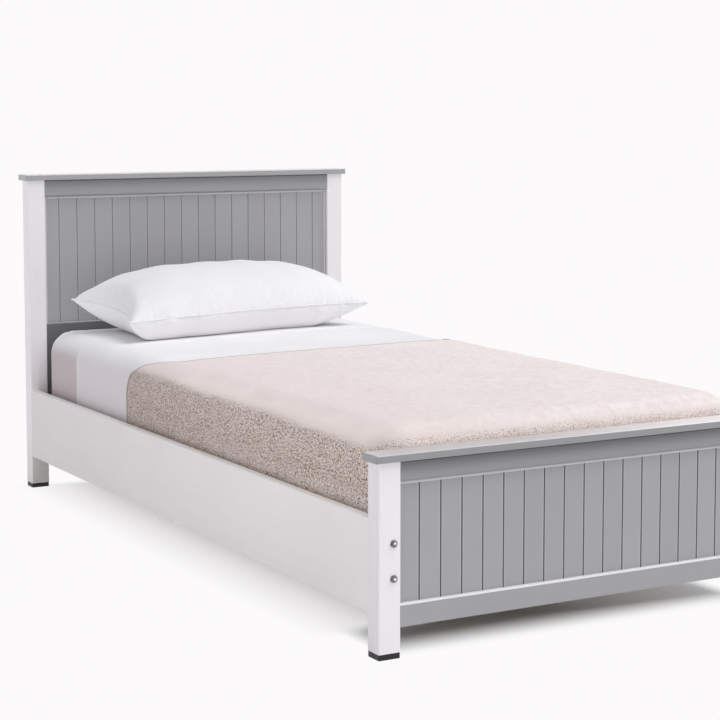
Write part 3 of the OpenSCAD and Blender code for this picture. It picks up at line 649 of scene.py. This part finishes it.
def apply_all(o):
    """Turns an object's modifiers into its mesh."""
    e = o.evaluated_get(bpy.context.evaluated_depsgraph_get())
    mesh = bpy.data.meshes.new_from_object(e)
    mesh.name = o.name
    old = o.data
    o.modifiers.clear()
    o.data = mesh
    bpy.data.meshes.remove(old)
    mesh.polygons.foreach_set("use_smooth", [True] * len(mesh.polygons))


def cut(o, point, normal):
    """Cuts a mesh by a plane and drops the side the normal points to."""
    bm = bmesh.new()
    bm.from_mesh(o.data)
    bmesh.ops.bisect_plane(bm, geom=bm.verts[:] + bm.edges[:] + bm.faces[:], dist=1e-6, plane_co=point,
                           plane_no=normal, clear_outer=True)
    bm.to_mesh(o.data)
    bm.free()


def make_mattress():
    """A soft block that shows from below, between the slats; its sides are drawn in unevenly."""
    profile = low_profile(COVER_OUT, INNERMOST)[:-1] + body_profile(COVER_OUT, MAT_Z0 + MAT_LOW_R)
    mesh = rings_mesh("mattress_foam", profile, close_low=True)
    o = new_object("mattress_foam", mesh)
    co = coords(mesh)
    draw_in = 0.0012
    side = bump01((co[:, 2] - MAT_Z0 - 0.02) / 0.03) * bump01((MAT_Z1 - 0.05 - co[:, 2]) / 0.03)
    uneven = 0.5 + 0.5 * waves(co, seed=3, count=8, low=0.1, high=0.4)
    inward = -normals(mesh) * (draw_in * side * uneven)[:, None]
    set_coords(mesh, co + inward)
    mesh.materials.append(ticking("mattress_cover"))
    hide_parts("mattress")
    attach(o, "made_mattress")


def make_sheet():
    """The fitted sheet: tight, with a folded corner, small puckers near its lower edge and drag lines at the corners.
    """
    profile = low_profile(SHEET_OUT, SHEET_HEM) + body_profile(SHEET_OUT, MAT_Z0 + MAT_LOW_R)[1:]
    mesh = rings_mesh("fitted_cotton_sheet", profile)
    o = new_object("fitted_cotton_sheet", mesh)
    co, nn = coords(mesh), normals(mesh)
    bare = bump01((co[:, 1] - BLANKET_EDGE - 0.02) / 0.05)
    on_side = bump01((MAT_Z1 - 0.02 - co[:, 2]) / 0.04)
    on_top = bump01((nn[:, 2] - 0.6) / 0.4)
    # folded-over flap at each head corner, whose edge shows as an upright line on the side
    x_side = np.abs(nn[:, 0]) > 0.5
    flap = np.where(x_side, bump01((FOLD_Y + 0.004 - co[:, 1]) / 0.008), 0) * on_side
    # soft upright puckers near the hem, ripples on top and drag lines from the corners
    pucker = waves(co * (9, 9, 1.2), seed=5, count=14, low=0.25, high=0.9)
    ripple = waves(co, seed=6, count=10, low=0.12, high=0.5)
    corner = np.exp(-(((np.abs(co[:, 0]) - 0.40) / 0.09) ** 2 + ((co[:, 1] - 0.87) / 0.10) ** 2))
    drag = np.sin((np.abs(co[:, 0]) + co[:, 1]) * 2 * math.pi / 0.028)
    # how far each of them stands out, and the limits of it all
    flap_out, pucker_out, ripple_out, drag_out, lowest, highest = 0.0022, 0.0006, 0.0008, 0.0007, -0.0010, 0.0030
    move = (flap_out * flap + pucker_out * pucker * on_side + ripple_out * ripple * on_top) * bare
    move = np.clip(move + drag_out * corner * drag, lowest, highest)
    set_coords(mesh, co + nn * move[:, None])
    solidify(o, SHEET_OUT - SHEET_IN)
    o.data.materials.append(cotton("white_percale", tucked=True))
    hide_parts("fitted_sheet")
    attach(o, "made_mattress")


# the head edge of the blanket: metres down from its top, and how far the edge has swung towards the head there
DROP = (0, 0.001, 0.003, 0.005, 0.009, 0.017, 0.026, 0.035, 0.044, 0.056, 0.070, 0.089, 0.107, 0.140)
SWING = (0, 0.009, 0.026, 0.043, 0.073, 0.110, 0.139, 0.162, 0.179, 0.190, 0.197, 0.204, 0.205, 0.203)


def edge_shift(co):
    """How far along the bed the blanket's head edge lies from its middle on top, for each point."""
    lean = np.tan(math.radians(BLANKET_TURN)) * co[:, 0]
    z1 = MAT_Z1 - MAT_CROWN + BLANKET_OUT
    beyond = np.abs(co[:, 0]) > MAT_W / 2 - MAT_TOP_R
    return lean + np.where(beyond, np.interp(z1 - co[:, 2], DROP, SWING), 0)


def make_blanket():
    """The blanket, tucked in at the foot and the sides, with shallow ripples and a slanting head edge."""
    profile = body_profile(BLANKET_OUT, BLANKET_LOW)
    mesh = rings_mesh("woven_blanket", profile)
    o = new_object("woven_blanket", mesh)
    cut(o, (0, BLANKET_EDGE, 0), (0, 1, 0))
    mesh = o.data
    co = coords(mesh)
    # each point's distance along the bed from the head edge, which places the painted shadow there
    hem = mesh.attributes.new("hem", "FLOAT", "POINT")
    hem.data.foreach_set("value", np.ascontiguousarray(co[:, 1] - BLANKET_EDGE, dtype=np.float32))
    follows = 0.7
    co[:, 1] += bump01((co[:, 1] - BLANKET_EDGE + follows) / follows) * edge_shift(co)
    set_coords(mesh, co)
    nn = normals(mesh)
    on_top = bump01((nn[:, 2] - 0.5) / 0.5)
    inside = 0.25 + 0.75 * bump01((BLANKET_EDGE - co[:, 1]) / 0.25)
    # how far the ripples on top and on the sides stand out, the limits of both, and the room that they leave inside
    top_out, side_out, lowest, highest, settled, room = 0.0010, 0.0012, -0.0020, 0.0024, 0.0006, 0.0028
    move = top_out * waves(co, seed=11, count=14, low=0.10, high=0.45) * on_top * inside
    move += side_out * waves(co * (1, 1, 0.35), seed=12, count=14, low=0.06, high=0.22) * (1 - on_top)
    move = np.clip(move, lowest, highest) - settled
    set_coords(mesh, co + nn * move[:, None])
    solidify(o, BLANKET_OUT - BLANKET_IN - room)
    m = o.modifiers.new("soft_edge", "BEVEL")
    m.width, m.segments, m.limit_method, m.angle_limit = 0.0008, 3, "ANGLE", math.radians(50)
    apply_all(o)
    o.data.materials.append(boucle("beige_boucle"))
    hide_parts("blanket")
    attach(o, "made_mattress")


# ---------------------------------------------------------------- the pillow
# its place, size, turn in degrees and the dome's rise; the seam's height at the front left, front right, back left
# and back right corner, and how far its sides are drawn in; the dome's shape; how far out the underside lies flat
PILLOW = dict(x=-0.008, y=0.7335, z=0.4496, w=0.790, l=0.341, turn=6.0, up=0.103,
              fl=0.056, fr=0.063, bl=0.092, br=0.091, pull_l=0.006, left=0.039, right=0.028, blunt=0.004,
              swell_x=3.4, swell_y=2.8, ease=0.56, crown_x=-0.02, crown_y=0.2,
              lie=0.75, lie_l=0.89, lie_f=0.90, lie_b=0.68, lie_r=0.56)
PIPING_R = 0.0017


def pillow_seam(s, t):
    """The sheet between the pillow's seams, for s from left to right and t from front to back, from -1 to 1."""
    p = PILLOW
    a, b = (1 + s) / 2, (1 + t) / 2
    x = s * p["w"] / 2 + p["blunt"] * (1 - a) * (1 - b) + (1 - t * t) * (p["left"] * (1 - a) - p["right"] * a)
    y = t * (p["l"] / 2 - p["pull_l"] * (1 - s * s))
    z = (1 - b) * ((1 - a) * p["fl"] + a * p["fr"]) + b * ((1 - a) * p["bl"] + a * p["br"])
    return np.stack([x, y, z], -1)


def pillow_dome(s, t):
    """How far the top rises over that sheet, from 0 at the seam to 1."""
    p = PILLOW
    x, y = s - p["crown_x"] * (1 - s * s), t - p["crown_y"] * (1 - t * t)
    return np.maximum(0, (1 - np.abs(x) ** p["swell_x"]) * (1 - np.abs(y) ** p["swell_y"])) ** p["ease"]


def pillow_hang(s, t):
    """How far the underside sinks from that sheet to the bed, from 0 at the seam to 1."""
    p = PILLOW
    b = (1 + t) / 2
    to = np.where(s > 0, p["lie_r"], p["lie_f"] * (1 - b) + p["lie_b"] * b)
    return np.minimum(np.minimum(1, (1 - np.abs(s)) / (1 - to)), (1 - np.abs(t)) / (1 - p["lie_l"])) ** p["lie"]


def pillow_place(points):
    """Puts the pillow's own points where it lies."""
    a = math.radians(PILLOW["turn"])
    c, k = math.cos(a), math.sin(a)
    out = points.copy()
    out[..., 0] = PILLOW["x"] + c * points[..., 0] - k * points[..., 1]
    out[..., 1] = PILLOW["y"] + k * points[..., 0] + c * points[..., 1]
    out[..., 2] = PILLOW["z"] + points[..., 2]
    return out


def pillow_shell(shrink, n=64, m=32):
    """Points and faces of the pillow's closed form: the top grid first, then the inside of the low grid."""
    u = np.sin(np.linspace(-math.pi / 2, math.pi / 2, n + 1))
    v = np.sin(np.linspace(-math.pi / 2, math.pi / 2, m + 1))
    s, t = np.meshgrid(u, v, indexing="ij")
    seam = pillow_seam(s, t)
    top, low = seam.copy(), seam.copy()
    top[..., 2] += (PILLOW["up"] - shrink) * pillow_dome(s, t)
    low[..., 2] = seam[..., 2] * (1 - pillow_hang(s, t))
    top, low = pillow_place(top), pillow_place(low)
    pts = [p for row in top for p in row]
    at_top = np.arange((n + 1) * (m + 1)).reshape(n + 1, m + 1)
    at_low = at_top.copy()
    k = len(pts)
    for i in range(1, n):
        for j in range(1, m):
            at_low[i, j] = k
            pts.append(low[i, j])
            k += 1
    faces = []
    for i in range(n):
        for j in range(m):
            faces.append((at_top[i, j], at_top[i + 1, j], at_top[i + 1, j + 1], at_top[i, j + 1]))
            faces.append((at_low[i, j], at_low[i, j + 1], at_low[i + 1, j + 1], at_low[i + 1, j]))
    return pts, faces


def swell(o, frames=14, pressure=4.0, cap=0.012):
    """Blows the closed form up a little as stuffed cloth, with Blender's cloth, and caps how far it moves."""
    before = coords(o.data)
    scene = bpy.context.scene
    m = o.modifiers.new("cloth", "CLOTH")
    st = m.settings
    st.use_pressure = True
    st.uniform_pressure_force = pressure
    st.tension_stiffness = st.compression_stiffness = 22
    st.shear_stiffness = 9
    st.bending_stiffness = 0.6
    st.mass = 0.3
    st.effector_weights.gravity = 0.0
    st.quality = 5
    m.collision_settings.use_collision = False
    m.point_cache.frame_start, m.point_cache.frame_end = 1, frames
    for f in range(1, frames + 1):
        scene.frame_set(f)
    e = o.evaluated_get(bpy.context.evaluated_depsgraph_get())
    after = np.zeros(len(e.data.vertices) * 3)
    e.data.vertices.foreach_get("co", after)
    after = after.reshape(-1, 3)
    o.modifiers.clear()
    scene.frame_set(1)
    step = after - before
    far = np.linalg.norm(step, axis=1)
    step *= (np.minimum(far, cap) / np.maximum(far, 1e-9))[:, None]
    set_coords(o.data, before + step)


def seam_loop(count=420):
    """Points along the pillow's seam, once round, before it is blown up."""
    t = np.linspace(0, 4, count, endpoint=False)
    k, f = t.astype(int), (t % 1) * 2 - 1
    s = np.choose(k, [f, np.ones_like(f), -f, -np.ones_like(f)])
    u = np.choose(k, [-np.ones_like(f), f, np.ones_like(f), -f])
    return pillow_place(pillow_seam(s, u)), s, u


def smooth_loop(p, rounds):
    """Evens out the rows of a closed loop."""
    for _ in range(rounds):
        p = 0.25 * np.roll(p, 1, 0) + 0.5 * p + 0.25 * np.roll(p, -1, 0)
    return p


def tube(path, radius, sides=8):
    """A closed tube round a closed path."""
    n = len(path)
    ahead = np.roll(path, -1, 0) - np.roll(path, 1, 0)
    ahead /= np.linalg.norm(ahead, axis=1)[:, None]
    side = np.cross(ahead, (0, 0, 1))
    side /= np.linalg.norm(side, axis=1)[:, None]
    up = np.cross(side, ahead)
    pts, faces = [], []
    for i in range(n):
        for j in range(sides):
            a = 2 * math.pi * j / sides
            pts.append(path[i] + radius * (math.cos(a) * side[i] + math.sin(a) * up[i]))
    for i in range(n):
        for j in range(sides):
            a, b = i * sides, (i + 1) % n * sides
            faces.append((a + j, a + (j + 1) % sides, b + (j + 1) % sides, b + j))
    return pts, faces


def nearest(points, cloud):
    """For each point, the number of the nearest one in a cloud, and its distance."""
    tree = KDTree(len(cloud))
    for i, c in enumerate(cloud):
        tree.insert(c, i)
    tree.balance()
    hit = [tree.find(p) for p in points]
    return np.array([h[1] for h in hit]), np.array([h[2] for h in hit])


def relax(mesh, co, weight, rounds, pull=0.6):
    """Draws points towards the middle of their neighbours, by a weight each."""
    edges = np.zeros(len(mesh.edges) * 2, dtype=np.int64)
    mesh.edges.foreach_get("vertices", edges)
    a, b = edges.reshape(-1, 2).T
    count = np.bincount(a, minlength=len(co)) + np.bincount(b, minlength=len(co))
    size = len(co)
    for _ in range(rounds):
        total = np.stack([np.bincount(a, co[b, k], size) + np.bincount(b, co[a, k], size) for k in range(3)], 1)
        co = co + (total / count[:, None] - co) * (pull * weight)[:, None]
    return co


def make_pillow():
    """The pillow in its case, blown up by a cloth simulation, with gathers along its piped seam."""
    pts, faces = pillow_shell(shrink=0.009)
    mesh = mesh_from("bed_pillow", pts, faces)
    o = new_object("bed_pillow", mesh)
    m = o.modifiers.new("even", "REMESH")
    m.mode, m.voxel_size = "VOXEL", 0.006
    apply_all(o)
    before = coords(o.data)
    swell(o)
    moved = coords(o.data) - before
    m = o.modifiers.new("fine", "SUBSURF")
    m.levels = m.render_levels = 1
    apply_all(o)
    mesh = o.data
    co = coords(mesh)
    # the seam, carried along by the cloth
    seam, s, t = seam_loop()
    near, _ = nearest(seam, before)
    seam = smooth_loop(seam + smooth_loop(moved[near], 6), 2)
    # each point's nearest place on the seam: how far off, how far along, and how near to a corner or the front
    at, far = nearest(co, seam)
    run = np.concatenate([[0], np.cumsum(np.linalg.norm(np.diff(seam, axis=0), axis=1))])[at]
    corner = np.exp(-((np.abs(s[at]) - 1) ** 2 + (np.abs(t[at]) - 1) ** 2) / 0.16)
    front = bump01(-t[at] * 4 - 2.2)
    nn = normals(mesh)
    # the underside, between the seam and the bed, is evened out
    low = bump01((far - 0.004) / 0.02) * (nn[:, 2] < 0.25) * bump01((PILLOW["z"] + 0.085 - co[:, 2]) / 0.02)
    co = relax(mesh, co, low, rounds=70)
    # short gathers along the seam, deepest at the corners, soft drag lines towards them, and the filling's swellings
    gather = waves(np.stack([run, 0 * run, 0 * run], 1), seed=21, count=10, low=0.012, high=0.045)
    drag = waves(np.stack([run * 0.55, far * 0.15, 0 * run], 1), seed=22, count=8, low=0.020, high=0.060)
    swelling = waves(co * (1, 0.5, 0.6), seed=23, count=10, low=0.10, high=0.35)
    fade = np.exp(-(far / 0.028) ** 1.5) * bump01(far / 0.006)
    # how far each of them stands out, how deep the seam is drawn in, and how far all stays off the sheet
    gather_out, drag_out, swelling_out, dip, off_sheet = 0.0011, 0.0010, 0.0014, 0.0008, 0.0002
    move = gather_out * gather * fade * (0.35 + 0.9 * corner + 0.2 * front)
    move += drag_out * drag * np.exp(-(far / 0.10) ** 2) * (0.2 + 0.8 * corner) * bump01(far / 0.02)
    move += swelling_out * swelling
    co = co + nn * move[:, None]
    # a narrow dip on both sides of the piping
    co -= nn * (dip * np.exp(-((far - 0.0035) / 0.0025) ** 2))[:, None]
    co[:, 2] = np.maximum(co[:, 2], PILLOW["z"] + off_sheet)
    set_coords(mesh, co)
    mesh.materials.append(cotton("pillow_percale", (233, 232, 234), painted_pillow_light=True))
    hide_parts("pillow")
    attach(o, "loose_pillow")

    seam[:, 2] = np.maximum(seam[:, 2], PILLOW["z"] + PIPING_R + 0.0003)
    trim = new_object("pillow_piping", mesh_from("pillow_piping", *tube(seam, PIPING_R)))
    trim.data.materials.append(cotton("piping_percale", (247, 246, 248), crease=0.3))
    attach(trim, "loose_pillow")


make_mattress()
make_sheet()
make_blanket()
make_pillow()


# ---------------------------------------------------------------- stage, light and camera
BACKDROP = srgb(252, 250, 251)
# where the bed's shadow on the floor fades out: towards both sides, farther out from the foot zone's start on,
# beyond both ends, and by a share that grows slowly to the right
SHADE_SIDE = (0.270, 0.540)
SHADE_FOOT, SHADE_FOOT_SIDE = (-0.74, -0.83), (0.40, 0.47)
SHADE_END = (0.850, 1.010)
SHADE_RIGHT = (0.0, 0.42, 0.0, 0.26)


def pale_floor(name):
    """A pale floor. The camera sees it as the backdrop's white, but for the shadow under the bed, which looks
    slightly blue."""
    n = Nodes(name)
    shaded = n.add("ShaderNodeBsdfDiffuse")
    white = n.add("ShaderNodeEmission")
    white.inputs["Color"].default_value = BACKDROP
    path = n.add("ShaderNodeLightPath")
    seen = n.math("MAXIMUM", path.outputs["Is Camera Ray"], path.outputs["Is Glossy Ray"])
    n.link(n.mix(seen, (0.94, 0.955, 0.975, 1), (0.88, 0.94, 1.0, 1)), shaded.inputs["Color"])
    aside = n.math("ABSOLUTE", n.axis("X"))
    across = n.math("POWER", n.remap(aside, *SHADE_SIDE), 0.42)
    foot = n.remap(n.axis("Y"), *SHADE_FOOT, kind="SMOOTHSTEP")
    across = n.math("ADD", n.math("MULTIPLY", across, n.math("SUBTRACT", 1.0, foot)),
                    n.math("MULTIPLY", n.remap(aside, *SHADE_FOOT_SIDE), foot))
    along = n.remap(n.math("ABSOLUTE", n.axis("Y")), *SHADE_END, kind="SMOOTHSTEP")
    right = n.remap(n.axis("X"), *SHADE_RIGHT)
    open_floor = n.math("MAXIMUM", n.math("MAXIMUM", across, along), right, clamp=True)
    mix = n.add("ShaderNodeMixShader")
    n.link(n.math("MULTIPLY", seen, open_floor), mix.inputs[0])
    n.link(shaded.outputs[0], mix.inputs[1])
    n.link(white.outputs[0], mix.inputs[2])
    n.link(mix.outputs[0], n.out.inputs[0])
    n.tree.nodes.remove(n.bsdf)
    return n.mat


def make_stage(half=60):
    """The floor, a pale world, two wide suns and the camera fitted to the photo."""
    scene = bpy.context.scene
    corners = [(-half, -half, 0), (half, -half, 0), (half, half, 0), (-half, half, 0)]
    floor = new_object("floor", mesh_from("floor", corners, [(0, 1, 2, 3)], smooth=False))
    floor.data.materials.append(pale_floor("floor_white"))

    world = bpy.data.worlds.new("studio")
    scene.world = world
    world.use_nodes = True
    tree = world.node_tree
    tree.nodes.clear()
    out = tree.nodes.new("ShaderNodeOutputWorld")
    light = tree.nodes.new("ShaderNodeBackground")
    seen = tree.nodes.new("ShaderNodeBackground")
    path = tree.nodes.new("ShaderNodeLightPath")
    either = tree.nodes.new("ShaderNodeMath")
    either.operation = "MAXIMUM"
    mix = tree.nodes.new("ShaderNodeMixShader")
    light.inputs[0].default_value = (1.0, 0.99, 1.0, 1)
    light.inputs[1].default_value = 0.40
    seen.inputs[0].default_value = BACKDROP
    seen.inputs[1].default_value = 1.0
    tree.links.new(path.outputs["Is Camera Ray"], either.inputs[0])
    tree.links.new(path.outputs["Is Glossy Ray"], either.inputs[1])
    tree.links.new(either.outputs[0], mix.inputs[0])
    tree.links.new(light.outputs[0], mix.inputs[1])
    tree.links.new(seen.outputs[0], mix.inputs[2])
    tree.links.new(mix.outputs[0], out.inputs[0])

    def sun(name, towards, strength, angle):
        lamp = bpy.data.lights.new(name, "SUN")
        lamp.energy = strength
        lamp.angle = math.radians(angle)
        o = bpy.data.objects.new(name, lamp)
        scene.collection.objects.link(o)
        o.rotation_euler = Vector(towards).to_track_quat("Z", "Y").to_euler()

    sun("key", (0.45, -0.26, 1.0), 2.00, 50)
    sun("side_fill", (-1.0, -0.5, 0.35), 0.26, 60)

    cam = bpy.data.cameras.new("camera")
    o = bpy.data.objects.new("camera", cam)
    scene.collection.objects.link(o)
    cam.sensor_fit = "HORIZONTAL"
    cam.sensor_width = 36.0
    cam.lens = 97.35
    cam.shift_x, cam.shift_y = 0.0, -80 / 720
    cam.clip_end = 200
    o.location = (-2.3672, -4.2257, 1.1033)
    o.rotation_euler = (math.radians(84.6), 0, math.radians(-29.5))
    scene.camera = o
    scene.view_settings.view_transform = "Standard"


make_stage()
